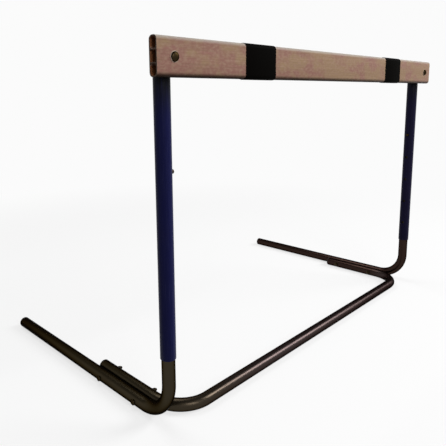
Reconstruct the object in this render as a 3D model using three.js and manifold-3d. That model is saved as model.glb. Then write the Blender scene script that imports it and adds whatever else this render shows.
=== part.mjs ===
// Track hurdle at its lowest setting, in millimetres, +Z up.
// The origin is on the floor under the middle of the crossbar. +X runs along the board,
// the two long legs run to +Y, and the board is bolted to the front of the posts, at -Y.
// The board and its two outer posts slide up over the inner posts, which are the upright
// ends of the leg tubes, and a sprung button in each inner post holds the height.

import * as THREE from 'three';
import { mergeVertices } from 'three/addons/utils/BufferGeometryUtils.js';
import Module from 'manifold-3d';

const wasm = await Module();
wasm.setup();

// Whole hurdle
const hurdleHeight = 762; // floor to the board's top edge at the lowest setting
const heightStep = 76.2; // from one setting to the next
const fitGap = 0.3; // between two pieces that touch, and round a bolt or button
const cutOverrun = 5; // how far a cutting shape runs past what it cuts

// Board: hollow extruded plastic profile with rounded edges and inner webs
const boardLength = 1200;
const boardHeight = 70;
const boardDepth = 20;
const boardCorner = 8;
const boardWall = 2.5;
const boardWeb = 2;
const boardCells = 3;
const cellCorner = 1.5;
const postInset = 41; // from the board's end to the post's axis

// Bands wrapped round the board
const bandWidth = 100;
const bandThickness = 0.8;
const bandFromMiddle = 266; // mid-board to the band's nearer edge

// Steel tubes
const baseTubeDiameter = 28;
const baseTubeWall = 1.5;
const slideClearance = 0.5; // all round, between inner and outer post
const outerPostWall = 1.5;
const outerPostLength = 603;
const outerPostDrop = 7; // board's top edge down to the outer post's top end
const innerPostHeadroom = 37; // board bolt down to the inner post's top end
const legReach = 636; // post's axis to the leg tube's far end
const legBendRadius = 80; // to the tube's axis
const crossBendRadius = 80; // to the tube's axis

// Bolts through leg and crossbar return, one behind the other
const legBoltFromBend = 23;
const legBoltSpacing = 129;
const returnEndMargin = 37; // last bolt to the return's end
const legBolt = {
  shank: 6,
  head: 13.5,
  rise: 3.6, // of the head
  rim: 0.8, // straight edge of the head
  across: 10, // the nut's flats
  nut: 5.2, // the nut's height
  washer: 12.5,
  plate: 1.2, // the washer's thickness
  end: 4, // of the shank, past the nut
};

// Bolts through board and post
const boardBolt = {
  shank: 8,
  head: 17.5,
  rise: 4.6,
  rim: 1,
  across: 13,
  nut: 6.8,
  washer: 16,
  plate: 1.6,
  end: 4,
};
const sleeveWall = 1.6; // spacer round the bolt, inside the board's middle cell

// Snap button and its spring
const buttonDiameter = 8.8;
const buttonRise = 7.5; // out of the outer post's surface
const buttonDome = 3;
const buttonFootDiameter = 11;
const buttonFootThickness = 1.2;
const buttonDrop = 206; // board bolt down to the button
const holeEdgeMargin = 40; // least height of a setting hole over the outer post's lower end
const springWidth = 10;
const springThickness = 0.8;
const springLength = 62;
const springPad = 9; // half the straight stretch at each arm's end
const springTurn = 3; // radius of the turn at the lower end

// Plastic plugs in open tube ends
const plugInsert = 18;
const plugRim = 1.5;
const plugDome = 5;
const postPlugDome = 2;

// Faceting
const tubeSides = 24; // a multiple of four, so that a flat faces down and to each side
const bendSteps = 8;
const roundSides = 16;
const nutSides = 6;
const cornerSteps = 5;
const domeSteps = 4;

// Places worked out from the sizes above
const baseRadius = baseTubeDiameter / 2;
const baseBore = baseRadius - baseTubeWall;
const outerPostBore = baseRadius + slideClearance;
const outerPostRadius = outerPostBore + outerPostWall;
const postOffset = boardLength / 2 - postInset;
const boardMiddle = hurdleHeight - boardHeight / 2;
const boardBack = -(outerPostRadius + fitGap);
const boardFront = boardBack - boardDepth;
const outerPostTop = hurdleHeight - outerPostDrop;
const outerPostFoot = outerPostTop - outerPostLength;
const innerPostTop = boardMiddle - innerPostHeadroom;
const buttonHeight = boardMiddle - buttonDrop;
const settingCount = Math.floor((buttonHeight - outerPostFoot - holeEdgeMargin) / heightStep) + 1;
const returnOffset = postOffset - baseTubeDiameter - fitGap;
const firstLegBolt = Math.max(legBendRadius, crossBendRadius) + legBoltFromBend;
const legBoltPlaces = { front: firstLegBolt, rear: firstLegBolt + legBoltSpacing };
const returnReach = legBoltPlaces.rear + returnEndMargin;

const sides = [
  { name: 'left', sign: -1, inward: 0 },
  { name: 'right', sign: 1, inward: Math.PI },
];

// Colours, sRGB
const finishes = {
  boardPlastic: { color: 0x9a8272, roughness: 0.55, metalness: 0 },
  bandPlastic: { color: 0x14110f, roughness: 0.5, metalness: 0 },
  bluePaint: { color: 0x161a3e, roughness: 0.35, metalness: 0.1 },
  basePaint: { color: 0x2c261c, roughness: 0.4, metalness: 0.3 },
  darkSteel: { color: 0x26241f, roughness: 0.4, metalness: 0.8 },
  plainSteel: { color: 0x8f9093, roughness: 0.35, metalness: 0.9 },
  blackPlastic: { color: 0x15130f, roughness: 0.6, metalness: 0 },
};

// A triangle soup's closed mesh as a solid that can be cut.
function toSolid(geometry) {
  const bare = geometry.clone();
  bare.deleteAttribute('normal');
  bare.deleteAttribute('uv');
  const merged = mergeVertices(bare);
  const corners = merged.index.array;
  const kept = [];
  for (let i = 0; i < corners.length; i += 3) {
    const [a, b, c] = [corners[i], corners[i + 1], corners[i + 2]];
    if (a !== b && b !== c && c !== a) kept.push(a, b, c);
  }
  const vertProperties = new Float32Array(merged.attributes.position.array);
  const triVerts = new Uint32Array(kept);
  return new wasm.Manifold(new wasm.Mesh({ numProp: 3, vertProperties, triVerts }));
}

function toGeometry(solid) {
  const mesh = solid.getMesh();
  const geometry = new THREE.BufferGeometry();
  geometry.setAttribute('position', new THREE.BufferAttribute(mesh.vertProperties, 3));
  geometry.setIndex(new THREE.BufferAttribute(mesh.triVerts, 1));
  const faceted = geometry.toNonIndexed();
  faceted.computeVertexNormals();
  return faceted;
}

function cutAway(geometry, cutters) {
  let solid = toSolid(geometry);
  for (const cutter of cutters) solid = solid.subtract(toSolid(cutter));
  return toGeometry(solid);
}

// A round cutting shape that clears a circle of the given radius, lying along a direction.
function drill(radius, length, direction, centre) {
  const cornerRadius = radius / Math.cos(Math.PI / roundSides);
  const geometry = new THREE.CylinderGeometry(cornerRadius, cornerRadius, length, roundSides);
  const turn = new THREE.Quaternion().setFromUnitVectors(new THREE.Vector3(0, 1, 0), direction);
  geometry.applyQuaternion(turn);
  geometry.translate(centre.x, centre.y, centre.z);
  return geometry;
}

// The corners of a regular polygon whose flats lie at the given radius.
function polygon(flatRadius, count) {
  const cornerRadius = flatRadius / Math.cos(Math.PI / count);
  return Array.from({ length: count }, (_, i) => {
    const angle = (2 * Math.PI * (i + 1 / 2)) / count;
    return new THREE.Vector2(Math.cos(angle), Math.sin(angle)).multiplyScalar(cornerRadius);
  });
}

function ringShape(outerRadius, innerRadius, count) {
  const shape = new THREE.Shape(polygon(outerRadius, count));
  shape.holes.push(new THREE.Path(polygon(innerRadius, count)));
  return shape;
}

// A rounded rectangle about its own centre, as a shape or as a hole's path.
function roundedRectangle(Kind, width, height, radius) {
  const [x, y] = [width / 2 - radius, height / 2 - radius];
  const quarter = Math.PI / 2;
  const outline = new Kind();
  outline.absarc(x, y, radius, 0, quarter);
  outline.absarc(-x, y, radius, quarter, 2 * quarter);
  outline.absarc(-x, -y, radius, 2 * quarter, 3 * quarter);
  outline.absarc(x, -y, radius, 3 * quarter, 4 * quarter);
  return outline;
}

// Straight runs between corners that are rounded to one radius: a station at each end
// of a run and a few along each bend, every one with its point and its direction.
function roundedRoute(corners, radius) {
  const first = corners[0];
  const last = corners[corners.length - 1];
  const along = (from, to) => new THREE.Vector3().subVectors(to, from).normalize();
  const stations = [{ point: first, tangent: along(first, corners[1]) }];
  for (let i = 1; i < corners.length - 1; i += 1) {
    const before = along(corners[i - 1], corners[i]);
    const after = along(corners[i], corners[i + 1]);
    const turn = before.angleTo(after);
    const inwards = after.clone().addScaledVector(before, -before.dot(after)).normalize();
    const start = corners[i].clone().addScaledVector(before, -radius * Math.tan(turn / 2));
    const centre = start.clone().addScaledVector(inwards, radius);
    for (let step = 0; step <= bendSteps; step += 1) {
      const angle = (turn * step) / bendSteps;
      const point = centre.clone();
      point.addScaledVector(inwards, -radius * Math.cos(angle));
      point.addScaledVector(before, radius * Math.sin(angle));
      const tangent = before.clone().multiplyScalar(Math.cos(angle));
      tangent.addScaledVector(inwards, Math.sin(angle));
      stations.push({ point, tangent });
    }
  }
  stations.push({ point: last, tangent: along(corners[corners.length - 2], last) });
  return stations;
}

// A curve through stations, with one step of an extrusion from each to the next.
class StationCurve extends THREE.Curve {
  constructor(stations) {
    super();
    this.stations = stations;
  }

  getUtoTmapping(u) {
    return u;
  }

  getPoint(t, target = new THREE.Vector3()) {
    const place = t * (this.stations.length - 1);
    const index = Math.min(Math.floor(place), this.stations.length - 2);
    const [from, to] = [this.stations[index].point, this.stations[index + 1].point];
    return target.lerpVectors(from, to, place - index);
  }

  getTangent(t, target = new THREE.Vector3()) {
    return target.copy(this.stations[Math.round(t * (this.stations.length - 1))].tangent);
  }
}

function bentTube(corners, bendRadius, outerRadius, innerRadius) {
  const stations = roundedRoute(corners, bendRadius);
  return new THREE.ExtrudeGeometry(ringShape(outerRadius, innerRadius, tubeSides), {
    steps: stations.length - 1,
    extrudePath: new StationCurve(stations),
    bevelEnabled: false,
  });
}

// A solid of revolution about +Z from a profile of [radius, height] pairs, low end first.
function turned(profile, count) {
  const geometry = new THREE.LatheGeometry(profile.map(([r, z]) => new THREE.Vector2(r, z)), count);
  geometry.rotateX(Math.PI / 2);
  return geometry;
}

// The rounded top of a turned piece, from its rim to the axis.
function domeProfile(radius, base, rise) {
  return Array.from({ length: domeSteps + 1 }, (_, i) => {
    const angle = (Math.PI / 2) * (i / domeSteps);
    const reach = i === domeSteps ? 0 : radius * Math.cos(angle);
    return [reach, base + rise * Math.sin(angle)];
  });
}

function upright(shape, depth) {
  const settings = { depth, steps: 1, bevelEnabled: false, curveSegments: cornerSteps };
  return new THREE.ExtrudeGeometry(shape, settings);
}

// Lays a profile drawn in x and y along the board, as depth and height.
function alongBoard(shape, length) {
  const geometry = upright(shape, length);
  const across = new THREE.Vector3(0, 1, 0);
  const up = new THREE.Vector3(0, 0, 1);
  const lengthwise = new THREE.Vector3(1, 0, 0);
  geometry.applyMatrix4(new THREE.Matrix4().makeBasis(across, up, lengthwise));
  geometry.translate(-length / 2, 0, 0);
  return geometry;
}

// The board's own frame is its middle. Its cells run from end to end.
function boardGeometry() {
  const profile = roundedRectangle(THREE.Shape, boardDepth, boardHeight, boardCorner);
  const cellHeight = (boardHeight - 2 * boardWall - (boardCells - 1) * boardWeb) / boardCells;
  const cellDepth = boardDepth - 2 * boardWall;
  const endCellCorner = boardCorner - boardWall;
  for (let i = 0; i < boardCells; i += 1) {
    const isEnd = i === 0 || i === boardCells - 1;
    const middle = -boardHeight / 2 + boardWall + cellHeight / 2 + i * (cellHeight + boardWeb);
    const cell = roundedRectangle(THREE.Path, cellDepth, cellHeight, isEnd ? endCellCorner : cellCorner);
    const points = cell.getPoints(cornerSteps).map((p) => new THREE.Vector2(p.x, p.y + middle));
    profile.holes.push(new THREE.Path(points));
  }
  const holes = sides.map(({ sign }) => {
    const centre = new THREE.Vector3(sign * postOffset, 0, 0);
    return drill(boardBolt.shank / 2 + fitGap, boardDepth + cutOverrun, new THREE.Vector3(0, 1, 0), centre);
  });
  return cutAway(alongBoard(profile, boardLength), holes);
}

function bandGeometry() {
  const room = 2 * fitGap;
  const skin = room + 2 * bandThickness;
  const inner = roundedRectangle(THREE.Path, boardDepth + room, boardHeight + room, boardCorner + fitGap);
  const corner = boardCorner + fitGap + bandThickness;
  const ring = roundedRectangle(THREE.Shape, boardDepth + skin, boardHeight + skin, corner);
  ring.holes.push(inner);
  return alongBoard(ring, bandWidth);
}

// A straight outer post: the board bolt goes right through it, and the setting holes
// are in its inner wall alone, the uppermost at the button.
function outerPostGeometry({ sign }) {
  const section = ringShape(outerPostRadius, outerPostBore, tubeSides);
  const tube = upright(section, outerPostLength);
  const wall = outerPostRadius + cutOverrun;
  const boltPlace = new THREE.Vector3(0, 0, boardMiddle - outerPostFoot);
  const boltHole = boardBolt.shank / 2 + fitGap;
  const cutters = [drill(boltHole, 2 * wall, new THREE.Vector3(0, 1, 0), boltPlace)];
  for (let i = 0; i < settingCount; i += 1) {
    const height = buttonHeight - outerPostFoot - i * heightStep;
    const place = new THREE.Vector3((-sign * wall) / 2, 0, height);
    cutters.push(drill(buttonDiameter / 2 + fitGap, wall, new THREE.Vector3(1, 0, 0), place));
  }
  return cutAway(tube, cutters);
}

// Cutters for the cross bolts, right through the tube whose axis is at the given x.
function legBoltDrills(x) {
  const length = baseTubeDiameter + cutOverrun;
  return Object.values(legBoltPlaces).map((y) => {
    const centre = new THREE.Vector3(x, y, baseRadius);
    return drill(legBolt.shank / 2 + fitGap, length, new THREE.Vector3(1, 0, 0), centre);
  });
}

// Inner post and leg in one tube, bent where it meets the floor.
function legTubeGeometry({ sign }) {
  const x = sign * postOffset;
  const corners = [
    new THREE.Vector3(x, 0, innerPostTop),
    new THREE.Vector3(x, 0, baseRadius),
    new THREE.Vector3(x, legReach, baseRadius),
  ];
  const tube = bentTube(corners, legBendRadius, baseRadius, baseBore);
  const wall = baseRadius + cutOverrun;
  const place = new THREE.Vector3(x - (sign * wall) / 2, 0, buttonHeight);
  const buttonHole = drill(buttonDiameter / 2 + fitGap, wall, new THREE.Vector3(1, 0, 0), place);
  return cutAway(tube, [buttonHole, ...legBoltDrills(x)]);
}

// Crossbar with a return at each end, lying inside the leg and alongside it.
function crossTubeGeometry() {
  const corners = [
    new THREE.Vector3(-returnOffset, returnReach, baseRadius),
    new THREE.Vector3(-returnOffset, 0, baseRadius),
    new THREE.Vector3(returnOffset, 0, baseRadius),
    new THREE.Vector3(returnOffset, returnReach, baseRadius),
  ];
  const tube = bentTube(corners, crossBendRadius, baseRadius, baseBore);
  return cutAway(tube, [...legBoltDrills(-returnOffset), ...legBoltDrills(returnOffset)]);
}

// A round-headed bolt with its head's seat at height 0 and its shank below.
function boltGeometry(bolt, grip) {
  const shankEnd = -(grip + bolt.plate + bolt.nut + bolt.end);
  const chamfer = bolt.shank / 8;
  const profile = [
    [0, shankEnd],
    [bolt.shank / 2 - chamfer, shankEnd],
    [bolt.shank / 2, shankEnd + chamfer],
    [bolt.shank / 2, fitGap],
    [bolt.head / 2, fitGap],
    ...domeProfile(bolt.head / 2, fitGap + bolt.rim, bolt.rise - bolt.rim),
  ];
  return turned(profile, roundSides);
}

function washerGeometry(bolt) {
  const ring = ringShape(bolt.washer / 2, bolt.shank / 2 + fitGap, roundSides);
  return upright(ring, bolt.plate - fitGap);
}

function nutGeometry(bolt) {
  const nut = new THREE.Shape(polygon(bolt.across / 2, nutSides));
  nut.holes.push(new THREE.Path(polygon(bolt.shank / 2 + fitGap, roundSides)));
  return upright(nut, bolt.nut - fitGap);
}

function sleeveGeometry() {
  const bore = boardBolt.shank / 2 + fitGap;
  return upright(ringShape(bore + sleeveWall, bore, roundSides), boardDepth - 2 * boardWall - 2 * fitGap);
}

// A plug with its domed head over a tube's end and its stem inside the bore.
function plugGeometry(boreRadius, headRadius, dome) {
  const stem = boreRadius - fitGap;
  const profile = [
    [0, -plugInsert],
    [stem, -plugInsert],
    [stem, fitGap],
    [headRadius, fitGap],
    ...domeProfile(headRadius, fitGap + plugRim, dome),
  ];
  return turned(profile, tubeSides);
}

// The button's foot bears on the inside of the inner post, and its flat outer face is
// as far out as the round bore lets the foot's edge go. Heights are from the post's axis.
const footFace = Math.sqrt(baseBore ** 2 - (buttonFootDiameter / 2) ** 2) - fitGap;
const footBack = footFace - buttonFootThickness;

function buttonGeometry() {
  const tip = outerPostRadius + buttonRise;
  const profile = [
    [0, footBack],
    [buttonFootDiameter / 2, footBack],
    [buttonFootDiameter / 2, footFace],
    [buttonDiameter / 2, footFace],
    ...domeProfile(buttonDiameter / 2, tip - buttonDome, buttonDome),
  ];
  return turned(profile, roundSides);
}

// A strip of even thickness along a line of points, as an outline.
function ribbonShape(points, thickness) {
  const offset = (side) => points.map((point, i) => {
    const before = points[Math.max(i - 1, 0)];
    const after = points[Math.min(i + 1, points.length - 1)];
    const along = new THREE.Vector2().subVectors(after, before).normalize();
    return new THREE.Vector2(-along.y, along.x).multiplyScalar((side * thickness) / 2).add(point);
  });
  return new THREE.Shape([...offset(1), ...offset(-1).reverse()]);
}

// A leaf spring folded to a V: one arm carries the button, the other bears on the far wall.
// x runs from the post's axis towards the button and y up from the button's own axis.
function springGeometry() {
  const nearArm = footBack - fitGap - springThickness / 2;
  const wallReach = Math.sqrt(baseBore ** 2 - (springWidth / 2) ** 2);
  const farArm = -(wallReach - fitGap - springThickness / 2);
  const turnMiddle = (nearArm + farArm) / 2;
  const turnHeight = springTurn - springLength;
  const points = [new THREE.Vector2(nearArm, springPad), new THREE.Vector2(nearArm, -springPad)];
  for (let step = 0; step <= domeSteps; step += 1) {
    const angle = (Math.PI * step) / domeSteps;
    const x = turnMiddle + springTurn * Math.cos(angle);
    points.push(new THREE.Vector2(x, turnHeight - springTurn * Math.sin(angle)));
  }
  points.push(new THREE.Vector2(farArm, -springPad), new THREE.Vector2(farArm, springPad));
  const geometry = upright(ribbonShape(points, springThickness), springWidth);
  geometry.translate(0, 0, -springWidth / 2);
  return geometry;
}

function piece(name, geometry, finish) {
  const mesh = new THREE.Mesh(geometry, new THREE.MeshStandardMaterial(finish));
  mesh.name = name;
  return mesh;
}

// Bolt, washer and nut on one axis, in a group whose +Z is the way the head faces.
function fastenerGroup(bolt, grip, names) {
  const group = new THREE.Group();
  const washer = piece(names.washer, washerGeometry(bolt), finishes.darkSteel);
  washer.position.z = -(grip + bolt.plate);
  const nut = piece(names.nut, nutGeometry(bolt), finishes.darkSteel);
  nut.position.z = -(grip + bolt.plate + bolt.nut);
  group.add(piece(names.bolt, boltGeometry(bolt, grip), finishes.darkSteel), washer, nut);
  return group;
}

function baseGroup() {
  const group = new THREE.Group();
  group.add(piece('cross_tube', crossTubeGeometry(), finishes.basePaint));
  for (const side of sides) {
    group.add(piece(`leg_tube_${side.name}`, legTubeGeometry(side), finishes.basePaint));

    for (const [place, y] of Object.entries(legBoltPlaces)) {
      const end = `${side.name}_${place}`;
      const names = { bolt: `leg_bolt_${end}`, washer: `leg_washer_${end}`, nut: `leg_nut_${end}` };
      const fastener = fastenerGroup(legBolt, 2 * baseTubeDiameter + fitGap, names);
      fastener.rotation.y = (side.sign * Math.PI) / 2;
      fastener.position.set(side.sign * (postOffset + baseRadius), y, baseRadius);
      group.add(fastener);
    }

    const ends = { leg: [postOffset, legReach], cross: [returnOffset, returnReach] };
    for (const [kind, [x, y]] of Object.entries(ends)) {
      const plug = plugGeometry(baseBore, baseRadius, plugDome);
      const cap = piece(`${kind}_cap_${side.name}`, plug, finishes.blackPlastic);
      cap.rotation.x = -Math.PI / 2;
      cap.position.set(side.sign * x, y, baseRadius);
      group.add(cap);
    }

    const latch = new THREE.Group();
    latch.position.set(side.sign * postOffset, 0, buttonHeight);
    latch.rotation.z = side.inward;
    const button = piece(`snap_button_${side.name}`, buttonGeometry(), finishes.darkSteel);
    button.rotation.y = Math.PI / 2;
    const spring = piece(`button_spring_${side.name}`, springGeometry(), finishes.plainSteel);
    spring.rotation.x = Math.PI / 2;
    latch.add(button, spring);
    group.add(latch);
  }
  return group;
}

function sliderGroup() {
  const group = new THREE.Group();
  const board = piece('top_board', boardGeometry(), finishes.boardPlastic);
  const boardAxis = (boardFront + boardBack) / 2;
  board.position.set(0, boardAxis, boardMiddle);
  group.add(board);
  for (const side of sides) {
    const band = piece(`board_band_${side.name}`, bandGeometry(), finishes.bandPlastic);
    band.position.set(side.sign * (bandFromMiddle + bandWidth / 2), boardAxis, boardMiddle);

    const post = piece(`outer_post_${side.name}`, outerPostGeometry(side), finishes.bluePaint);
    post.position.set(side.sign * postOffset, 0, outerPostFoot);

    const names = {
      bolt: `board_bolt_${side.name}`,
      washer: `board_washer_${side.name}`,
      nut: `board_nut_${side.name}`,
    };
    const fastener = fastenerGroup(boardBolt, outerPostRadius - boardFront, names);
    fastener.rotation.x = Math.PI / 2;
    fastener.position.set(side.sign * postOffset, boardFront, boardMiddle);

    const sleeve = piece(`board_sleeve_${side.name}`, sleeveGeometry(), finishes.plainSteel);
    sleeve.rotation.x = Math.PI / 2;
    sleeve.position.set(side.sign * postOffset, boardBack - boardWall - fitGap, boardMiddle);

    const plug = plugGeometry(outerPostBore, outerPostRadius, postPlugDome);
    const cap = piece(`post_cap_${side.name}`, plug, finishes.blackPlastic);
    cap.position.set(side.sign * postOffset, 0, outerPostTop);
    group.add(band, post, fastener, sleeve, cap);
  }
  return group;
}

const hurdle = new THREE.Group();
hurdle.add(baseGroup(), sliderGroup());

export default hurdle;
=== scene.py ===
import math

import bmesh
import bpy
from mathutils import Matrix, Vector


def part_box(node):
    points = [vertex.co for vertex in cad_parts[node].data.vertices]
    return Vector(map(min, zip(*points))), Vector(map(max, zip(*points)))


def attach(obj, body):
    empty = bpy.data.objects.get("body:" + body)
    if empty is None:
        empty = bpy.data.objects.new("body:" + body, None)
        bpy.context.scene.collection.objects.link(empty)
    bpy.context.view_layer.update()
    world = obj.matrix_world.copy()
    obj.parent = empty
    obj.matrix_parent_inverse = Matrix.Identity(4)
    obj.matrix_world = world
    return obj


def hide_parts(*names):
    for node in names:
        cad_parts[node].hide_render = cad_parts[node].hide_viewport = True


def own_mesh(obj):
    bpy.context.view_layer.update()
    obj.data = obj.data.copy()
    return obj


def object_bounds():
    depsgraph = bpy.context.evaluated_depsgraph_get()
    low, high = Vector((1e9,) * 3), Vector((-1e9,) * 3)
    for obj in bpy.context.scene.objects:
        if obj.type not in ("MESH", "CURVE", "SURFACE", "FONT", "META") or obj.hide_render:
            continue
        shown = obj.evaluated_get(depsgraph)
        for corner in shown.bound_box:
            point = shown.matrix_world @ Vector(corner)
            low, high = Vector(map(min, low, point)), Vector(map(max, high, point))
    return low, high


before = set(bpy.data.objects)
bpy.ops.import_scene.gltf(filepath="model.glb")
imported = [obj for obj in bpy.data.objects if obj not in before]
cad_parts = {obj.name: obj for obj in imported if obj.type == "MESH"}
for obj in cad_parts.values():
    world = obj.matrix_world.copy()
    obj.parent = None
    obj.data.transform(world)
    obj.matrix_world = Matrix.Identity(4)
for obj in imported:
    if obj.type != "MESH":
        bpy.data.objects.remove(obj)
cad_low, cad_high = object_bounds()

# Camera. The hurdle was photographed from its front left, at a little under the board's
# height and a step away from the nearer post, so the board's left end looms. The picture is
# cropped off its middle, which the shift repeats. Pixels are of the 446 pixel frame.
mm = 0.001
image_side = 446
focal_length = 486.65
optical_axis = (187.12, 180.36)
camera_place = Vector((-1144.2, -669.3, 655.6)) * mm
camera_turn = math.radians(43.93)
camera_dip = math.radians(9.56)
camera_lean = math.radians(-0.94)

camera_data = bpy.data.cameras.new("camera")
camera_data.lens = camera_data.sensor_width * focal_length / image_side
camera_data.shift_x = 0.5 - optical_axis[0] / image_side
camera_data.shift_y = optical_axis[1] / image_side - 0.5
camera = bpy.data.objects.new("camera", camera_data)
bpy.context.scene.collection.objects.link(camera)
level_turn = Matrix.Rotation(-camera_turn, 4, "Z") @ Matrix.Rotation(math.pi / 2 - camera_dip, 4, "X")
camera.matrix_world = Matrix.Translation(camera_place) @ level_turn @ Matrix.Rotation(camera_lean, 4, "Z")
bpy.context.scene.camera = camera


# Studio. A white sweep of paper under and behind the hurdle, lit by a small softbox in front,
# a large one high on the right, one overhead at the back and a weak sky. The paper looks white
# to the camera and in reflections, but throws little light back, as in a deep, dark studio.
def linear(hex_code):
    """An sRGB hex value as the linear colour that a shader takes."""
    channels = [int(hex_code[i : i + 2], 16) / 255 for i in (1, 3, 5)]
    bent = [c / 12.92 if c <= 0.04045 else ((c + 0.055) / 1.055) ** 2.4 for c in channels]
    return [*bent, 1.0]


def add(tree, kind, values=None, settings=None):
    """Adds a node with its settings. Each value goes to a socket in use, by its name or its
    place, and is a number, a colour, an output, or a node whose first output in use is meant."""
    made = tree.nodes.new("ShaderNode" + kind)
    for name, setting in (settings or {}).items():
        setattr(made, name, setting)
    sockets = {}
    for place, socket in enumerate(s for s in made.inputs if s.enabled):
        sockets[place] = socket
        sockets.setdefault(socket.name, socket)
    for key, value in (values or {}).items():
        if isinstance(value, bpy.types.Node):
            value = next(output for output in value.outputs if output.enabled)
        if isinstance(value, bpy.types.NodeSocket):
            tree.links.new(value, sockets[key])
        else:
            sockets[key].default_value = value
    return made


greater = {"operation": "MAXIMUM"}
times = {"operation": "MULTIPLY"}
smooth = {"interpolation_type": "SMOOTHSTEP"}
in_colour = {"data_type": "RGBA"}


def seen_directly(tree):
    """1 for a ray from the camera or off a glossy or clear surface, and 0 for other light."""
    path = add(tree, "LightPath").outputs
    glossy = add(tree, "Math", {0: path["Is Camera Ray"], 1: path["Is Glossy Ray"]}, greater)
    return add(tree, "Math", {0: glossy, 1: path["Is Transmission Ray"]}, greater)


paper_white = linear("#fbfbfb")
paper_lit = linear("#ebebeb")  # which the lamps bring up to that white
paper_bounce = linear("#404040")
paper_reach = 6.0  # metres
shadow_fade = 0.72  # share of plain white mixed into the paper's shading, under the hurdle
shadow_reach = (1.1, 2.4)  # metres from the middle, over which the paper turns plain white
hurdle_middle = (cad_low + cad_high) / 2

paper = bpy.data.materials.new("studio_paper")
paper.use_nodes = True
tree = paper.node_tree
tree.nodes.clear()
direct = seen_directly(tree)
position = add(tree, "NewGeometry").outputs["Position"]
middle = (hurdle_middle.x, hurdle_middle.y, 0.0)
off_middle = add(tree, "VectorMath", {0: position, 1: middle}, {"operation": "DISTANCE"})
start, end = shadow_reach
reach = {"Value": off_middle, "From Min": start, "From Max": end, "To Min": shadow_fade}
fade = add(tree, "MapRange", reach, smooth)
tone = add(tree, "Mix", {"Factor": direct, "A": paper_bounce, "B": paper_lit}, in_colour)
lit = add(tree, "BsdfDiffuse", {"Color": tone})
plain = add(tree, "Emission", {"Color": paper_white})
plainness = add(tree, "Math", {0: direct, 1: fade}, times)
mixed = add(tree, "MixShader", {0: plainness, 1: lit, 2: plain})
add(tree, "OutputMaterial", {"Surface": mixed})

floor_mesh = bpy.data.meshes.new("studio_floor")
corners = [(-1, -1), (1, -1), (1, 1), (-1, 1)]
floor_points = [(middle[0] + x * paper_reach, middle[1] + y * paper_reach, 0.0) for x, y in corners]
floor_mesh.from_pydata(floor_points, [], [(0, 1, 2, 3)])
floor_mesh.materials.append(paper)
floor = bpy.data.objects.new("studio_floor", floor_mesh)
bpy.context.scene.collection.objects.link(floor)

sky_strength = 0.25
sweep_top = math.sin(math.radians(22))  # up to here a glossy surface mirrors the white sweep
ceiling_start = math.sin(math.radians(40))  # and from here on the dark ceiling
world = bpy.data.worlds.new("studio")
world.use_nodes = True
tree = world.node_tree
tree.nodes.clear()
direct = seen_directly(tree)
upward = add(tree, "SeparateXYZ", {"Vector": add(tree, "TexCoord").outputs["Generated"]}).outputs["Z"]
ceiling = {"Value": upward, "From Min": sweep_top, "From Max": ceiling_start, "To Min": 1.0, "To Max": 0.0}
sweep = add(tree, "MapRange", ceiling, smooth)
on_sweep = add(tree, "Math", {0: direct, 1: sweep}, times)
by_camera = add(tree, "LightPath").outputs["Is Camera Ray"]
white = add(tree, "Math", {0: on_sweep, 1: by_camera}, greater)
strength = add(tree, "MapRange", {"Value": white, "To Min": sky_strength})
sky = add(tree, "Background", {"Color": paper_white, "Strength": strength})
add(tree, "OutputWorld", {"Surface": sky})
bpy.context.scene.world = world


def softbox(name, place, target, size, power, long_way=(1.0, 0.0, 0.0)):
    """A rectangular lamp that faces a target, its first side turned as near as can be to a way."""
    light = bpy.data.lights.new(name, "AREA")
    light.shape = "RECTANGLE"
    light.size, light.size_y = size
    light.energy = power
    back = (Vector(place) - Vector(target)).normalized()
    across = (Vector(long_way) - back * back.dot(Vector(long_way))).normalized()
    turn = Matrix((across, back.cross(across), back)).transposed().to_4x4()
    lamp = bpy.data.objects.new(name, light)
    lamp.matrix_world = Matrix.Translation(place) @ turn
    bpy.context.scene.collection.objects.link(lamp)


face_height = (0.0, 0.0, 0.4)
softbox("front_softbox", place=(-1.1, -2.5, 1.8), target=face_height, size=(1.2, 1.2), power=36)
softbox("back_softbox", place=(0.0, 1.7, 3.4), target=face_height, size=(2.0, 1.2), power=45)
softbox(
    "large_softbox",
    place=(3.6, -2.8, 3.5),
    target=(0.0, 0.0, 0.1),
    size=(3.2, 1.8),
    power=290,
    long_way=(0.81, 0.37, -0.45),  # so that its streak runs along the whole crossbar
)
bpy.context.scene.view_settings.view_transform = "Standard"


# Leg tubes. Each is one length of 28 mm drawn steel tube, bent round a former where it meets
# the floor: its upright end is the inner post and its long end the leg. It is stoved in a dark
# metallic enamel, olive on the left and red-brown on the right, and scored where it slides.
leg_bend_radius = 80 * mm
base_wall = 1.5 * mm
tube_sides = 72
bend_steps = 28
sawn_edge = 0.35 * mm  # how far a sawn edge is broken
edge_steps = 3
hole_sides = 40
smooth_angle = math.radians(32)
merge_distance = 0.001 * mm
bolt_clearance = 0.3 * mm
cut_overrun = 5 * mm

olive_enamel = "#352f24"  # on the left
brown_enamel = "#2d211d"  # on the right
slide_black = "#16130f"  # on the inner posts, where the outer ones run
slide_scored = "#332e25"
slide_start = (160 * mm, 175 * mm)  # heights between which the slide's black comes in
flake_rim = "#8c8c8c"  # dims the shine of metal flake seen edge-on
plain_ior = 1.14  # of enamel without flake
enamel_patch = 55 * mm
enamel_ripple = 1.6 * mm
ripple_height = 0.05 * mm
score_width = 1.2 * mm  # a real scratch is about 0.1 mm wide, and drawn coarser so that it shows
score_stretch = 0.02  # a scratch is 50 times as long as it is wide
drift_reach = 0.5  # metres to each side of the middle, over which the tone drifts


def new_material(name):
    """A bare material, its node tree, and the place of each point in the piece's own frame."""
    made = bpy.data.materials.new(name)
    made.use_nodes = True
    tree = made.node_tree
    tree.nodes.clear()
    return made, tree, add(tree, "TexCoord").outputs["Object"]


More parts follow.
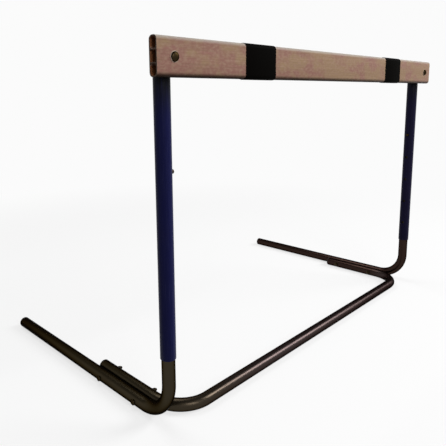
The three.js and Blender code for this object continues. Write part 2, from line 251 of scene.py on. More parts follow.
def enamel(name, left_colour, right_colour, roughness, flake=0.0, over=None, scored=None):
    """Stoved enamel on steel: its tone drifts in soft patches from the left side to the right,
    over the faint ripple that thick enamel dries to. over is another colour on it, and scored
    that of upright scratches. Each has how plain it is at most and, for each axis that bounds
    it, where it starts and where it is full."""
    made, tree, place = new_material(name)
    along = add(tree, "SeparateXYZ", {"Vector": place}).outputs

    def bounded(most, reaches):
        for axis, start, end in reaches:
            reach = {"Value": along[axis], "From Min": start, "From Max": end, "To Max": most}
            most = add(tree, "MapRange", reach, smooth)
        return most

    patches = add(tree, "TexNoise", {"Vector": place, "Scale": 1 / enamel_patch, "Detail": 3.0})
    sideways = {"Value": along["X"], "From Min": -drift_reach, "From Max": drift_reach}
    drift = add(tree, "MapRange", sideways, smooth)
    uneven = add(tree, "Math", {0: drift, 1: patches}, {"operation": "ADD"})
    share = add(tree, "MapRange", {"Value": uneven, "From Min": 0.5, "From Max": 1.5}, smooth)
    tones = {"Factor": share, "A": linear(left_colour), "B": linear(right_colour)}
    tone = add(tree, "Mix", tones, in_colour)
    if over:
        colour, most, *reaches = over
        covered = bounded(most, reaches)
        tone = add(tree, "Mix", {"Factor": covered, "A": tone, "B": linear(colour)}, in_colour)
    if scored:
        colour, most, *reaches = scored
        upright = add(tree, "Mapping", {"Vector": place, "Scale": (1.0, 1.0, score_stretch)})
        lines = add(tree, "TexNoise", {"Vector": upright, "Scale": 1 / score_width, "Detail": 2.0})
        depth = {"Value": lines, "From Min": 0.52, "From Max": 0.7, "To Max": bounded(most, reaches)}
        bare = add(tree, "MapRange", depth, smooth)
        tone = add(tree, "Mix", {"Factor": bare, "A": tone, "B": linear(colour)}, in_colour)
    ripple = add(tree, "TexNoise", {"Vector": place, "Scale": 1 / enamel_ripple, "Detail": 1.0})
    gloss = {"Value": patches, "To Min": roughness - 0.05, "To Max": roughness + 0.07}
    surface = {
        "Base Color": tone,
        "Roughness": add(tree, "MapRange", gloss),
        "Metallic": flake,
        "IOR": 1.5 if flake else plain_ior,
        "Specular Tint": linear(flake_rim) if flake else linear("#ffffff"),
        "Normal": add(tree, "Bump", {"Height": ripple, "Strength": 0.25, "Distance": ripple_height}),
    }
    add(tree, "OutputMaterial", {"Surface": add(tree, "BsdfPrincipled", surface)})
    return made


def rounded_route(corners, bend_radius, side):
    """Stations along straight runs and round bends: each is a point, a direction and a side."""
    runs = [(b - a).normalized() for a, b in zip(corners, corners[1:])]
    stations = [(corners[0], runs[0], side)]
    for corner, before, after in zip(corners[1:], runs, runs[1:]):
        start = corner - before * bend_radius
        middle = start + after * bend_radius
        for step in range(bend_steps + 1):
            angle = math.pi / 2 * step / bend_steps
            point = middle - after * bend_radius * math.cos(angle) + before * bend_radius * math.sin(angle)
            direction = before * math.cos(angle) + after * math.sin(angle)
            stations.append((point, direction, side))
    stations.append((corners[-1], runs[-1], side))
    return stations


def ring(station, radius, ahead=0.0):
    """A circle of points round a station, moved ahead of it along its direction."""
    point, direction, side = station
    other = direction.cross(side)
    turns = [2 * math.pi * i / tube_sides for i in range(tube_sides)]
    middle = point + direction * ahead
    return [middle + (side * math.cos(t) + other * math.sin(t)) * radius for t in turns]


def sawn_end(station, outer, bore, way):
    """Rings round a tube's sawn end, from outside to bore, with both edges broken."""
    steps = [math.pi / 2 * i / edge_steps for i in range(edge_steps + 1)]
    outside = [(outer - sawn_edge * (1 - math.cos(t)), math.sin(t) - 1) for t in steps]
    inside = [(bore + sawn_edge * (1 - math.sin(t)), math.cos(t) - 1) for t in steps]
    return [ring(station, radius, way * back * sawn_edge) for radius, back in outside + inside]


def skin(rings, closed):
    """Faces from each ring of points to the next, and back to the first where closed."""
    bm = bmesh.new()
    grid = [[bm.verts.new(p) for p in points] for points in rings]
    pairs = list(zip(grid, grid[1:])) + ([(grid[-1], grid[0])] if closed else [])
    for near, far in pairs:
        for i in range(len(near)):
            j = (i + 1) % len(near)
            bm.faces.new((near[i], near[j], far[j], far[i]))
    bmesh.ops.remove_doubles(bm, verts=bm.verts, dist=merge_distance)
    bmesh.ops.recalc_face_normals(bm, faces=bm.faces)
    return bm


def tube(stations, outer, bore):
    first, last = stations[0], stations[-1]
    outside = [ring(s, outer) for s in stations[1:-1]]
    inside = [ring(s, bore) for s in reversed(stations[1:-1])]
    start = list(reversed(sawn_end(first, outer, bore, -1)))
    return skin(outside + sawn_end(last, outer, bore, 1) + inside + start, closed=True)


def drill_bit(bm, radius, start, end):
    """Adds a closed round bit from start to end, which cuts its own size out of a piece. It is
    turned by half a facet, so that none of its edges meets an edge of the tube head on."""
    axis = end - start
    turn = axis.to_track_quat("Z", "Y").to_matrix().to_4x4()
    half_facet = Matrix.Rotation(math.pi / hole_sides, 4, "Z")
    seat = Matrix.Translation((start + end) / 2) @ turn @ half_facet
    size = {"segments": hole_sides, "radius1": radius, "radius2": radius, "depth": axis.length}
    bmesh.ops.create_cone(bm, cap_ends=True, matrix=seat, **size)


def to_mesh(bm, name, materials):
    mesh = bpy.data.meshes.new(name)
    bm.to_mesh(mesh)
    bm.free()
    for material in materials:
        mesh.materials.append(material)
    return mesh


def new_piece(name, bm, materials, body, slot, *stands_for, bits=None):
    """Makes a piece, cuts its holes, smooths it and hands it to the body that carries it."""
    piece = bpy.data.objects.new(name, to_mesh(bm, name, materials))
    bpy.context.scene.collection.objects.link(piece)
    if bits:
        tool = bpy.data.objects.new("bits", to_mesh(bits, "bits", []))
        bpy.context.scene.collection.objects.link(tool)
        cut = piece.modifiers.new("holes", "BOOLEAN")
        cut.operation = "DIFFERENCE"
        cut.solver = "EXACT"
        cut.object = tool
        whole = piece.evaluated_get(bpy.context.evaluated_depsgraph_get())
        drilled = bpy.data.meshes.new_from_object(whole)
        piece.modifiers.clear()
        piece.data = drilled
        bpy.data.objects.remove(tool)
    piece.data.name = name
    piece.data.shade_smooth()
    piece.data.set_sharp_from_angle(angle=smooth_angle)
    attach(piece, body)
    if stands_for:
        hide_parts(*stands_for)
    return piece


def middle_of(node):
    low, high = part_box(node)
    return (low + high) / 2


base_tones = (olive_enamel, brown_enamel)
slid_on = (slide_black, 1.0, ("Z", *slide_start))
slid_in = (slide_scored, 1.0, ("Z", *slide_start))
leg_enamel = enamel("olive_brown_enamel", *base_tones, 0.3, flake=1.0, over=slid_on, scored=slid_in)
sides = {"left": -1, "right": 1}
leg_bolt_places = ("front", "rear")
leg_bolt_shank = 3 * mm  # radius
button_stem = 4.4 * mm  # radius

for side, sign in sides.items():
    node = f"leg_tube_{side}"
    low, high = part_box(node)
    tube_radius = (high.x - low.x) / 2
    base_bore = tube_radius - base_wall
    x = (low.x + high.x) / 2
    top = Vector((x, low.y + tube_radius, high.z))
    corner = Vector((x, top.y, low.z + tube_radius))
    run = [top, corner, Vector((x, high.y, corner.z))]
    stations = rounded_route(run, leg_bend_radius, Vector((1, 0, 0)))
    bits = bmesh.new()
    through = Vector((tube_radius + cut_overrun, 0, 0))
    for place in leg_bolt_places:
        bolt = middle_of(f"leg_bolt_{side}_{place}")
        hole = Vector((x, bolt.y, bolt.z))
        drill_bit(bits, leg_bolt_shank + bolt_clearance, hole - through, hole + through)
    button = middle_of(f"snap_button_{side}")
    hole = Vector((x, button.y, button.z))
    drill_bit(bits, button_stem + bolt_clearance, hole, hole - through * sign)
    leg = tube(stations, tube_radius, base_bore)
    new_piece(f"enamelled_leg_{side}", leg, [leg_enamel], "base", "base_paint", node, bits=bits)


# Crossbar. One length of the same tube, with a bend at each end whose return lies along the
# leg's inner side and is bolted to it. Its enamel is the legs', rubbed paler and greyer by feet
# on the long run, most of all towards the right.
cross_bend_radius = 80 * mm
rubbed_brown = "#3c3433"
rubbed_front = (110 * mm, 20 * mm)  # Y at which the rubbing starts, on the returns, and is full
rubbed_right = (-600 * mm, -200 * mm)  # and X, on the long run
rubbed = (rubbed_brown, 1.0, ("Y", *rubbed_front), ("X", *rubbed_right))
bar_enamel = enamel("rubbed_brown_enamel", *base_tones, 0.3, flake=1.0, over=rubbed)

low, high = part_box("cross_tube")
height = (low.z + high.z) / 2
front = low.y + tube_radius
run = [
    Vector((low.x + tube_radius, high.y, height)),
    Vector((low.x + tube_radius, front, height)),
    Vector((high.x - tube_radius, front, height)),
    Vector((high.x - tube_radius, high.y, height)),
]
bits = bmesh.new()
for side, sign in sides.items():
    for place in leg_bolt_places:
        bolt = middle_of(f"leg_bolt_{side}_{place}")
        hole = Vector((run[2].x * sign, bolt.y, bolt.z))
        drill_bit(bits, leg_bolt_shank + bolt_clearance, hole - through, hole + through)
crossbar = tube(rounded_route(run, cross_bend_radius, Vector((0, 0, 1))), tube_radius, base_bore)
new_piece("enamelled_crossbar", crossbar, [bar_enamel], "base", "base_paint", "cross_tube", bits=bits)


# Leg bolts, nuts and washers. Round-headed M6 bolts go through leg and return, with a plain
# washer and a hexagon nut on the inner side. All are blackened steel: a dark, brownish metal
# with a soft sheen on the domes and worn, paler crests on the threads.
steel_black = "#2b2316"
steel_worn = "#574d3c"
steel_grain = 0.9 * mm  # the real grain is under 0.1 mm, and drawn coarser so that it shows
grain_height = 0.04 * mm
coarse_steps = 10
turned_sides = 48
thread_length = 9 * mm
leg_bolt_size = {"shank": 3 * mm, "pitch": 1.0 * mm, "rise": 3.6 * mm, "rim": 0.8 * mm}
leg_nut_flats = 10 * mm
head_edge = 0.3 * mm
nut_chamfer_share = 0.14  # of the nut's flats
nut_face_share = 0.96  # of the nut's flats, across the circle that ends its chamfer
thread_depth_share = 0.6134  # of the pitch
thread_point_share = 1.2  # of the thread's depth, for the chamfer at the shank's end
rings_in_pitch = 6


def blackened_steel(name):
    """Oil-blackened steel: a dark satin metal, with a fine grain and edges worn paler."""
    made, tree, place = new_material(name)
    grain = add(tree, "TexNoise", {"Vector": place, "Scale": 1 / steel_grain, "Detail": 4.0})
    edge = add(tree, "NewGeometry").outputs["Pointiness"]
    worn = add(tree, "MapRange", {"Value": edge, "From Min": 0.53, "From Max": 0.62})
    share = add(tree, "Math", {0: worn, 1: grain}, times)
    tones = {"Factor": share, "A": linear(steel_black), "B": linear(steel_worn)}
    gloss = {"Value": grain, "To Min": 0.32, "To Max": 0.5}
    surface = {
        "Base Color": add(tree, "Mix", tones, in_colour),
        "Metallic": 1.0,
        "Specular Tint": linear(flake_rim),
        "Roughness": add(tree, "MapRange", gloss),
        "Normal": add(tree, "Bump", {"Height": grain, "Strength": 0.2, "Distance": grain_height}),
    }
    add(tree, "OutputMaterial", {"Surface": add(tree, "BsdfPrincipled", surface)})
    return made


def turned(profile, closed=False, radius_at=None):
    """Turns a profile of radius and height about +Z. radius_at can reshape it by angle."""
    shape = radius_at or (lambda radius, height, angle: radius)
    rings = []
    for radius, height in profile:
        points = []
        for i in range(turned_sides):
            angle = 2 * math.pi * i / turned_sides
            reach = shape(radius, height, angle)
            points.append(Vector((reach * math.cos(angle), reach * math.sin(angle), height)))
        rings.append(points)
    return skin(rings, closed)


def set_in(bm, foot, axis):
    """Moves a piece made about +Z so that its foot is at a point and +Z is along an axis."""
    turn = Vector(axis).to_track_quat("Z", "Y").to_matrix().to_4x4()
    bm.transform(Matrix.Translation(foot) @ turn)
    return bm


def extent(node, axis):
    """A CAD piece's foot and length along an axis, and its greatest radius about it."""
    low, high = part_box(node)
    half = (high - low) / 2
    length = abs(half.dot(axis))
    radius = max(abs(h) for h, a in zip(half, axis) if abs(a) < 0.5)
    return (low + high) / 2 - Vector(axis) * length, 2 * length, radius


def arc(radius, height, corner, start, end, steps=4):
    """Profile points round a corner of the given size, between two angles in degrees."""
    turns = [math.radians(start + (end - start) * i / steps) for i in range(steps + 1)]
    return [(radius + corner * math.cos(t), height + corner * math.sin(t)) for t in turns]


def bolt_shape(length, head_radius, size):
    """A round-headed bolt, shank end at height 0 and dome at the top."""
    shank, pitch = size["shank"], size["pitch"]
    seat = length - size["rise"]
    dome_base = seat + size["rim"]
    depth = pitch * thread_depth_share
    point = depth * thread_point_share
    rings = int(thread_length / pitch) * rings_in_pitch
    thread = [(shank, point + (thread_length - point) * i / rings) for i in range(rings + 1)]
    dome = [
        (head_radius * math.cos(t), dome_base + (length - dome_base) * math.sin(t))
        for t in [math.pi / 2 * i / coarse_steps for i in range(1, coarse_steps + 1)]
    ]
    head = arc(head_radius - head_edge, seat + head_edge, head_edge, -90, 0)
    profile = [(0, 0), (shank - point, 0)] + thread + [(shank, seat)] + head
    profile += [(head_radius, dome_base)] + dome[:-1] + [(0, length)]

    def threaded(radius, height, angle):
        if radius != shank or height > thread_length:
            return radius
        turn = (height / pitch - angle / (2 * math.pi)) % 1
        fade_out = min(1, (thread_length - height) / pitch)
        return radius - depth * fade_out * abs(2 * turn - 1)

    return turned(profile, radius_at=threaded)


def nut_shape(height, flats, bore):
    """A hexagon nut with both faces chamfered to a circle, so that its flats end in arcs."""
    half_flat = flats / 2
    face = half_flat * nut_face_share
    corner = half_flat / math.cos(math.pi / 6)
    chamfer = flats * nut_chamfer_share
    slope = (corner - face) / chamfer
    steps = [chamfer * i / coarse_steps for i in range(coarse_steps + 1)]
    outside = [(bore, 0)] + [(face + slope * s, s) for s in steps]
    outside += [(corner - slope * s, height - chamfer + s) for s in steps] + [(bore, height)]

    def hexagon(radius, height, angle):
        if radius == bore:
            return radius
        off_flat = (angle + math.pi / 6) % (math.pi / 3) - math.pi / 6
        return min(radius, half_flat / math.cos(off_flat))

    return turned(outside, closed=True, radius_at=hexagon)


def washer_shape(height, radius, bore):
    edge = height / 4
    outside = arc(radius - edge, edge, edge, -90, 0) + arc(radius - edge, height - edge, edge, 0, 90)
    return turned([(bore, 0)] + outside + [(bore, height)], closed=True)


def fasten(end, axis, body, size, flats):
    """Bolt, washer and nut on one line. The axis is the way the bolt's head faces."""
    kind, place = end
    names = {piece: f"{kind}_{piece}_{place}" for piece in ("bolt", "washer", "nut")}
    foot, length, head_radius = extent(names["bolt"], axis)
    bore = size["shank"] + bolt_clearance / 2
    shapes = {"bolt": set_in(bolt_shape(length, head_radius, size), foot, axis)}
    foot, length, radius = extent(names["washer"], axis)
    shapes["washer"] = set_in(washer_shape(length, radius, bore), foot, axis)
    foot, length, radius = extent(names["nut"], axis)
    shapes["nut"] = set_in(nut_shape(length, flats, bore), foot, axis)
    for piece, bm in shapes.items():
        new_piece(f"blackened_{names[piece]}", bm, [black_steel], body, "dark_steel", names[piece])


black_steel = blackened_steel("oil_blackened_steel")
for side, sign in sides.items():
    for place in leg_bolt_places:
        end = ("leg", f"{side}_{place}")
        fasten(end, Vector((sign, 0, 0)), "base", leg_bolt_size, leg_nut_flats)


# Plugs in the base's open tube ends. Moulded black polyethylene, pushed in: a domed head as
# wide as the tube, a shallow dimple where the mould was filled, and a ribbed stem.
plug_black = "#14120f"
plug_edge = 1.0 * mm
plug_head = 6.5 * mm
gate_radius = 1.6 * mm
gate_depth = 0.35 * mm
stem_ribs = 4
rib_rise = 0.25 * mm
moulded_pits = 0.7 * mm  # about 0.2 mm on the real ones, and drawn coarser so that they show
pit_depth = 0.05 * mm


def moulded_plastic(name, colour, roughness):
    """Moulded polyethylene: near black, satin, with the fine pitting of an eroded mould."""
    made, tree, place = new_material(name)
    pits = add(tree, "TexNoise", {"Vector": place, "Scale": 1 / moulded_pits, "Detail": 2.0})
    gloss = {"Value": pits, "To Min": roughness - 0.06, "To Max": roughness + 0.06}
    surface = {
        "Base Color": linear(colour),
        "Roughness": add(tree, "MapRange", gloss),
        "IOR": 1.3,
        "Normal": add(tree, "Bump", {"Height": pits, "Strength": 0.3, "Distance": pit_depth}),
    }
    add(tree, "OutputMaterial", {"Surface": add(tree, "BsdfPrincipled", surface)})
    return made


def plug_shape(length, radius, stem, head):
    """A tube plug with its stem's end at height 0 and its domed head at the top."""
    seat = length - head
    profile = [(0, 0), (stem - rib_rise, 0)]
    for i in range(stem_ribs):
        middle = seat * (i + 0.5) / stem_ribs
        half = seat / stem_ribs / 4
        profile += [(stem - rib_rise, middle - half), (stem, middle), (stem - rib_rise, middle + half)]
    profile += [(stem - rib_rise, seat)]
    profile += arc(radius - head_edge, seat + head_edge, head_edge, -90, 0)
    rim = length - (head - plug_edge)
    rise = length - rim
    for i in range(2 * coarse_steps):
        turn = math.pi / 2 * i / (2 * coarse_steps)
        reach = radius * math.cos(turn)
        if reach > gate_radius:
            profile.append((reach, rim + rise * math.sin(turn)))
    profile += [(gate_radius, length - gate_depth / 3), (gate_radius * 0.7, length - gate_depth)]
    return turned(profile + [(0, length - gate_depth)])


black_plastic = moulded_plastic("black_moulded_polyethylene", plug_black, 0.5)
for kind in ("leg", "cross"):
    for side in sides:
        node = f"{kind}_cap_{side}"
        axis = Vector((0, 1, 0))
        foot, length, radius = extent(node, axis)
        shape = set_in(plug_shape(length, radius, base_bore - bolt_clearance, plug_head), foot, axis)
        new_piece(f"plug_{kind}_{side}", shape, [black_plastic], "base", "black_plastic", node)


# Snap buttons and their springs. A turned and blackened steel button stands in the lined-up
# holes of inner and outer post. A leaf of bright spring steel, folded to a V inside the inner
# post, pushes it out. On the real hurdle it gives way when pressed; here it is drawn at rest.
button_round = 2.4 * mm
button_foot = 1.2 * mm  # height of the flange that keeps it inside the inner post
leaf_thickness = 0.8 * mm
leaf_edge = 0.3 * mm
leaf_pad = 18 * mm  # length of the straight stretch at each arm's end
leaf_fold = 3 * mm  # radius
fold_steps = 24
bright_steel = "#9a9a98"
rolling_lines = 0.4 * mm  # under 0.1 mm on the real strip, and drawn coarser so that they show
rolling_stretch = 0.04  # a line is 25 times as long as it is wide


def rolled_steel(name):
    """Bright cold-rolled strip: a metal with fine lines along the way that it was rolled."""
    made, tree, place = new_material(name)
    rolled = add(tree, "Mapping", {"Vector": place, "Scale": (1.0, 1.0, rolling_stretch)})
    lines = add(tree, "TexNoise", {"Vector": rolled, "Scale": 1 / rolling_lines, "Detail": 2.0})
    surface = {
        "Base Color": linear(bright_steel),
        "Metallic": 1.0,
        "Roughness": add(tree, "MapRange", {"Value": lines, "To Min": 0.25, "To Max": 0.45}),
    }
    add(tree, "OutputMaterial", {"Surface": add(tree, "BsdfPrincipled", surface)})
    return made


def rounded_rectangle(width, height, corner, steps):
    """Points round a rectangle with round corners, as pairs of offsets from its middle."""
    points = []
    for quarter, (a, b) in enumerate([(1, 1), (-1, 1), (-1, -1), (1, -1)]):
        for i in range(steps + 1):
            turn = math.pi / 2 * (quarter + i / steps)
            across = a * (width / 2 - corner) + corner * math.cos(turn)
            points.append((across, b * (height / 2 - corner) + corner * math.sin(turn)))
    return points


def leaf_shape(low, high, facing):
    """A strip folded to a V within the given box, with its near arm on the side it faces."""
    reach = (high.x - low.x - leaf_thickness) / 2
    middle = (low + high) / 2
    fold = low.z + leaf_thickness / 2 + leaf_fold
    turns = [math.pi * i / fold_steps for i in range(fold_steps + 1)]
    line = [(reach, high.z), (reach, high.z - leaf_pad)]
    line += [(leaf_fold * math.cos(t), fold - leaf_fold * math.sin(t)) for t in turns]
    line += [(-reach, high.z - leaf_pad), (-reach, high.z)]
    points = [Vector((middle.x + facing * x, middle.y, z)) for x, z in line]
    section = rounded_rectangle(high.y - low.y, leaf_thickness, leaf_edge, edge_steps)
    rings = [[points[0]] * len(section)]
    for before, point, after in zip([points[0]] + points, points, points[1:] + [points[-1]]):
        through = (after - before).normalized().cross(Vector((0, 1, 0)))
        rings.append([point + Vector((0, a, 0)) + through * b for a, b in section])
    return skin(rings + [[points[-1]] * len(section)], closed=False)


spring_steel = rolled_steel("bright_rolled_steel")
for side, sign in sides.items():
    node = f"snap_button_{side}"
    axis = Vector((-sign, 0, 0))
    foot, length, foot_radius = extent(node, axis)
    profile = [(0, 0)] + arc(foot_radius - head_edge, head_edge, head_edge, -90, 0)
    profile += [(foot_radius, button_foot), (button_stem, button_foot)]
    flat, crown = button_stem - button_round, length - button_round
    profile += arc(flat, crown, button_round, 0, 90, 2 * coarse_steps) + [(0, length)]
    shape = set_in(turned(profile), foot, axis)
    body = f"{side}_button"
    new_piece(f"snap_button_turned_{side}", shape, [black_steel], body, "dark_steel", node)

    node = f"button_spring_{side}"
    low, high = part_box(node)
    leaf = leaf_shape(low, high, -sign)
    spring = new_piece(f"folded_leaf_{side}", leaf, [spring_steel], "base", "plain_steel", node)
    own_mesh(spring)


# Outer posts. Straight 32 mm steel tubes, which slide on the inner posts, in a dark navy
# enamel. Five setting holes go through the inner wall, and the board's bolt through both.
navy_enamel = "#13153f"  # on the left
navy_enamel_dull = "#17132d"  # on the right
navy_board_shade = "#101117"  # painted shade under the board, where its shadow falls on the post
board_shade_heights = (610 * mm, 690 * mm)  # between which that comes in
navy_scuffed = "#2b2c50"  # faint lengthwise scuffs, of hands and of the next hurdle in the stack
scuff_plainness = 0.4
post_wall = 1.5 * mm
height_step = 76.2 * mm
setting_count = 5
board_bolt_shank = 4 * mm  # radius
ring_gap = 7 * mm  # from a hole's middle to the ring of points that ends its facets
post_plug_head = 3.5 * mm

post_tones = (navy_enamel, navy_enamel_dull)
# The post is painted darker just under the board: a painted shadow of the board.
shade_under_board = (navy_board_shade, 1.0, ("Z", *board_shade_heights))
scuffs = (navy_scuffed, scuff_plainness)
post_enamel = enamel("navy_enamel", *post_tones, 0.34, over=shade_under_board, scored=scuffs)
for side, sign in sides.items():
    node = f"outer_post_{side}"
    low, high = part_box(node)
    post_radius = (high.x - low.x) / 2
    post_bore = post_radius - post_wall
    x = (low.x + high.x) / 2
    button = middle_of(f"snap_button_{side}")
    bolt = middle_of(f"board_bolt_{side}")
    through = Vector((0, post_radius + cut_overrun, 0))
    bits = bmesh.new()
    hole = Vector((x, 0, bolt.z))
    drill_bit(bits, board_bolt_shank + bolt_clearance, hole - through, hole + through)
    heights = [button.z - i * height_step for i in range(setting_count)]
    for height in heights:
        hole = Vector((x, 0, height))
        outwards = Vector((-sign * (post_radius + cut_overrun), 0, 0))
        drill_bit(bits, button_stem + bolt_clearance, hole, hole + outwards)
    rings = sorted(h + step for h in [bolt.z, *heights] for step in (-ring_gap, ring_gap))
    levels = [low.z, *rings, high.z]
    stations = [(Vector((x, 0, z)), Vector((0, 0, 1)), Vector((1, 0, 0))) for z in levels]
    post = tube(stations, post_radius, post_bore)
    new_piece(f"enamelled_post_{side}", post, [post_enamel], "slider", "blue_paint", node, bits=bits)

    node = f"post_cap_{side}"
    axis = Vector((0, 0, 1))
    foot, length, radius = extent(node, axis)
    shape = plug_shape(length, radius, post_bore - bolt_clearance, post_plug_head)
    shape = set_in(shape, foot, axis)
    new_piece(f"plug_post_{side}", shape, [black_plastic], "slider", "black_plastic", node)


# Board. An extruded hard plastic profile, 70 by 20 mm with round edges and two inner webs,
# sawn to length. Its tan skin is mottled pink and olive, with faint lines along the
# extrusion, its inner walls show the red-brown core, and its sawn ends are painted dark as shade.
board_size = (20 * mm, 70 * mm)
board_corner = 8 * mm
board_wall = 2.5 * mm
board_web = 2 * mm
board_cells = 3
cell_corner = 1.5 * mm
corner_steps = 8
board_skin = "#9f8370"
board_skin_olive = "#957b60"
board_skin_pink = "#8f685e"
board_core = "#7e4f30"
# the sawn ends, painted darker as shade
board_sawn_shade = "#54453a"
board_line = "#7a5f4e"
board_top_highlight = "#a6a29b"  # painted highlight along the top edge
board_lower_shade = "#1a110a"  # painted shade along the lower edge, which faces down away from the lamps
board_bolt_highlight = "#c4b8a6"  # painted highlight in a ring round the bolts' heads
bolt_highlight_width = 2.5 * mm
olive_drift = 0.09  # how much more olive the right half is, as a share of the clouds' range
top_highlight_width = 9 * mm
lower_shade_width = 11 * mm
mottle_size = 26 * mm
mottle_stretch = 0.55  # the clouds are about twice as long as they are high
extrusion_lines = 1.1 * mm  # about 0.4 mm on the real board, and drawn coarser so that they show
line_stretch = 0.01  # a line is 100 times as long as it is wide
line_height = 0.12 * mm
saw_tooth = 0.15 * mm


def tan_plastic(name, bottom, top, bolt, head_reach):
    """Extruded plastic of two regrinds: soft pink and olive clouds, drawn out lengthways. Its
    top edge is painted paler as a highlight, its lower edge painted dark as shade, and a paler
    ring round each bolt's head is a painted highlight. bolt is the middle of either head, in positive
    figures."""
    made, tree, place = new_material(name)
    along = add(tree, "SeparateXYZ", {"Vector": place}).outputs
    drawn = add(tree, "Mapping", {"Vector": place, "Scale": (mottle_stretch, 1.0, 1.0)})
    clouds = add(tree, "TexNoise", {"Vector": drawn, "Scale": 1 / mottle_size, "Detail": 4.0})
    sideways = {"Value": along["X"], "From Min": -drift_reach, "From Max": 0.0, "To Max": olive_drift}
    drift = add(tree, "MapRange", sideways, smooth)
    uneven = add(tree, "Math", {0: drift, 1: clouds}, {"operation": "ADD"})
    olive = add(tree, "MapRange", {"Value": uneven, "From Min": 0.45, "From Max": 0.63})
    tones = {"Factor": olive, "A": linear(board_skin_pink), "B": linear(board_skin_olive)}
    tone = add(tree, "Mix", tones, in_colour)
    speckle = add(tree, "TexNoise", {"Vector": drawn, "Scale": 5 / mottle_size, "Detail": 3.0})
    light = {"Value": speckle, "From Min": 0.42, "From Max": 0.68, "To Max": 0.75}
    share = add(tree, "MapRange", light)
    tone = add(tree, "Mix", {"Factor": share, "A": tone, "B": linear(board_skin)}, in_colour)
    combed = add(tree, "Mapping", {"Vector": place, "Scale": (line_stretch, 1.0, 1.0)})
    lines = add(tree, "TexNoise", {"Vector": combed, "Scale": 1 / extrusion_lines, "Detail": 1.0})
    share = add(tree, "MapRange", {"Value": lines, "From Min": 0.4, "From Max": 0.75, "To Max": 0.5})
    tone = add(tree, "Mix", {"Factor": share, "A": tone, "B": linear(board_line)}, in_colour)

    flat = add(tree, "Mapping", {"Vector": place, "Scale": (1.0, 0.0, 1.0)})
    mirrored = add(tree, "VectorMath", {0: flat}, {"operation": "ABSOLUTE"})
    off_bolt = add(tree, "VectorMath", {0: mirrored, 1: bolt}, {"operation": "DISTANCE"})
    # Painted light: a highlight along the top edge, shade along the lower edge, and a highlight round each
    # bolt's head.
    marks = (
        (board_top_highlight, along["Z"], top - top_highlight_width, top, 0.8),
        (board_lower_shade, along["Z"], bottom + lower_shade_width, bottom, 0.95),
        (board_bolt_highlight, off_bolt, head_reach + bolt_highlight_width, head_reach, 0.6),
    )
    for colour, distance, start, end, most in marks:
        reach = {"Value": distance, "From Min": start, "From Max": end, "To Max": most}
        share = add(tree, "MapRange", reach, smooth)
        tone = add(tree, "Mix", {"Factor": share, "A": tone, "B": linear(colour)}, in_colour)

    surface = {
        "Base Color": tone,
        "Roughness": add(tree, "MapRange", {"Value": clouds, "To Min": 0.42, "To Max": 0.58}),
        "IOR": 1.12,
        "Normal": add(tree, "Bump", {"Height": lines, "Strength": 0.35, "Distance": line_height}),
    }
    add(tree, "OutputMaterial", {"Surface": add(tree, "BsdfPrincipled", surface)})
    return made


def core_plastic(name, colour):
    """The profile's core of reground plastic, unpolished, and rough where a saw went through it."""
    made, tree, place = new_material(name)
    tooth = add(tree, "TexNoise", {"Vector": place, "Scale": 1 / extrusion_lines, "Detail": 3.0})
    surface = {
        "Base Color": linear(colour),
        "Roughness": 0.7,
        "IOR": 1.3,
        "Normal": add(tree, "Bump", {"Height": tooth, "Strength": 0.4, "Distance": saw_tooth}),
    }
    add(tree, "OutputMaterial", {"Surface": add(tree, "BsdfPrincipled", surface)})
    return made


def hollow_bar(outlines, start, end, edge):
    """A bar along X. Each outline gives its depth, height, corner, middle and whether it is a
    hole. The rims at both ends are rounded, and only the outermost outline is solid."""
    bm = bmesh.new()
    steps = [math.pi / 2 * i / edge_steps for i in range(edge_steps + 1)]
    rims = {start: [], end: []}
    for depth, height, corner, y, z, hole in outlines:
        grow = edge if hole else -edge
        stretch = [(start + edge * (1 - math.cos(t)), grow * (1 - math.sin(t))) for t in steps]
        stretch += [(start + end - x, g) for x, g in reversed(stretch)]
        grid = []
        for x, g in stretch:
            points = rounded_rectangle(depth + 2 * g, height + 2 * g, corner + g, corner_steps)
            grid.append([bm.verts.new((x, y + a, z + b)) for a, b in points])
        for near, far in zip(grid, grid[1:]):
            for i in range(len(near)):
                j = (i + 1) % len(near)
                bm.faces.new((near[i], near[j], far[j], far[i]))
        for x, loop in ((start, grid[0]), (end, grid[-1])):
            rims[x] += [bm.edges.get((loop[i - 1], loop[i])) for i in range(len(loop))]
    for edges in rims.values():
        bmesh.ops.triangle_fill(bm, use_beauty=True, edges=edges)
    bmesh.ops.recalc_face_normals(bm, faces=bm.faces)
    return bm


low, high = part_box("top_board")
board_middle = (low + high) / 2
depth, height = board_size
cell_height = (height - 2 * board_wall - (board_cells - 1) * board_web) / board_cells
outlines = [(depth, height, board_corner, board_middle.y, board_middle.z, False)]
for i in range(board_cells):
    corner = board_corner - board_wall if i in (0, board_cells - 1) else cell_corner
    z = low.z + board_wall + cell_height / 2 + i * (cell_height + board_web)
    outlines.append((depth - 2 * board_wall, cell_height, corner, board_middle.y, z, True))
bm = hollow_bar(outlines, low.x, high.x, sawn_edge)
for face in bm.faces:
    centre = face.calc_center_median()
    if abs(centre.x) > high.x - sawn_edge / 2:
        face.material_index = 2
    elif face.normal.dot(centre - board_middle) < 0:
        face.material_index = 1
bits = bmesh.new()
for side in sides:
    bolt = middle_of(f"board_bolt_{side}")
    hole = Vector((bolt.x, board_middle.y, bolt.z))
    through = Vector((0, depth / 2 + cut_overrun, 0))
    drill_bit(bits, board_bolt_shank + bolt_clearance, hole - through, hole + through)
for face in bits.faces:
    face.material_index = 1  # the bolt holes' walls show the core too
head_reach = extent("board_bolt_right", Vector((0, -1, 0)))[2]
bolt = middle_of("board_bolt_right")
skin_plastic = tan_plastic("mottled_tan_plastic", low.z, high.z, (bolt.x, 0.0, bolt.z), head_reach)
inner_plastic = core_plastic("red_brown_core_plastic", board_core)
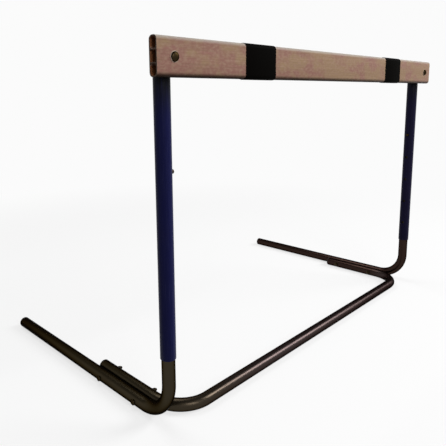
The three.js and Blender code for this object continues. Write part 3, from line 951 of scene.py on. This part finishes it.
# The sawn ends are painted darker than the core: painted shade.
sawn_shade_plastic = core_plastic("sawn_plastic_painted_shade", board_sawn_shade)
board_materials = [skin_plastic, inner_plastic, sawn_shade_plastic]
new_piece("board_profile", bm, board_materials, "slider", "board_plastic", "top_board", bits=bits)


# Bands. Black vinyl tape, wound round the board tight enough to follow its round edges. It
# is matt, its cut sides are a little rounded, and its end is lapped over on the back.
tape_black = "#080706"
tape_edge = 0.25 * mm
tape_grain = 0.5 * mm  # about 0.2 mm on real tape, and drawn coarser so that it shows
stretch_marks = 2.5 * mm
mark_stretch = 0.12  # a mark is 8 times as long as it is wide
tape_relief = 0.06 * mm
tape_thickness = 0.35 * mm
tape_corner = 0.315 * mm  # of the lapped end, and a little under half its depth
tape_fit = 0.15 * mm  # between the tape and the board
tape_end_height = 24 * mm
tape_end_drop = 14 * mm  # the lapped end's middle, under the board's


def vinyl_tape(name):
    """Plasticised vinyl: black and matt, with a fine leathery grain and stretch marks."""
    made, tree, place = new_material(name)
    grain = add(tree, "TexNoise", {"Vector": place, "Scale": 1 / tape_grain, "Detail": 3.0})
    pulled = add(tree, "Mapping", {"Vector": place, "Scale": (1.0, mark_stretch, mark_stretch)})
    stretch = add(tree, "TexNoise", {"Vector": pulled, "Scale": 1 / stretch_marks, "Detail": 2.0})
    relief = add(tree, "Math", {0: grain, 1: stretch}, {"operation": "ADD"})
    surface = {
        "Base Color": linear(tape_black),
        "Roughness": add(tree, "MapRange", {"Value": stretch, "To Min": 0.45, "To Max": 0.65}),
        "IOR": 1.03,
        "Normal": add(tree, "Bump", {"Height": relief, "Strength": 0.3, "Distance": tape_relief}),
    }
    add(tree, "OutputMaterial", {"Surface": add(tree, "BsdfPrincipled", surface)})
    return made


tape = vinyl_tape("black_vinyl_tape")
for side in sides:
    low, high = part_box(f"board_band_{side}")
    centre = (low + high) / 2
    depth, height = high.y - low.y - 2 * tape_thickness, high.z - low.z
    thickness = (height - board_size[1]) / 2
    wound = (depth, height, board_corner + thickness, centre.y, centre.z, False)
    fitted = [size + 2 * tape_fit for size in board_size]
    inside = (*fitted, board_corner + tape_fit, centre.y, centre.z, True)
    band = hollow_bar([wound, inside], low.x, high.x, tape_edge)
    new_piece(f"tape_band_{side}", band, [tape], "slider", "band_plastic", f"board_band_{side}")

    back = high.y - tape_thickness
    middle = centre.z - tape_end_drop
    lapped = (2 * tape_thickness, tape_end_height, tape_corner, back, middle, False)
    tape_end = hollow_bar([lapped], low.x, high.x, tape_thickness / 2)
    new_piece(f"tape_end_{side}", tape_end, [tape], "slider", "band_plastic")


# Board bolts. M8, through board and post, with a round spacer inside the hollow board so
# that tightening doesn't crush it. The dome shows on the face, washer and nut behind. The
# spacer is hidden, so its solid stays, in the bright finish of the springs.
board_bolt_size = {"shank": 4 * mm, "pitch": 1.25 * mm, "rise": 4.6 * mm, "rim": 1.0 * mm}
board_nut_flats = 13 * mm
for side in sides:
    fasten(("board", side), Vector((0, -1, 0)), "slider", board_bolt_size, board_nut_flats)
    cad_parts[f"board_sleeve_{side}"].material_slots[0].material = spring_steel
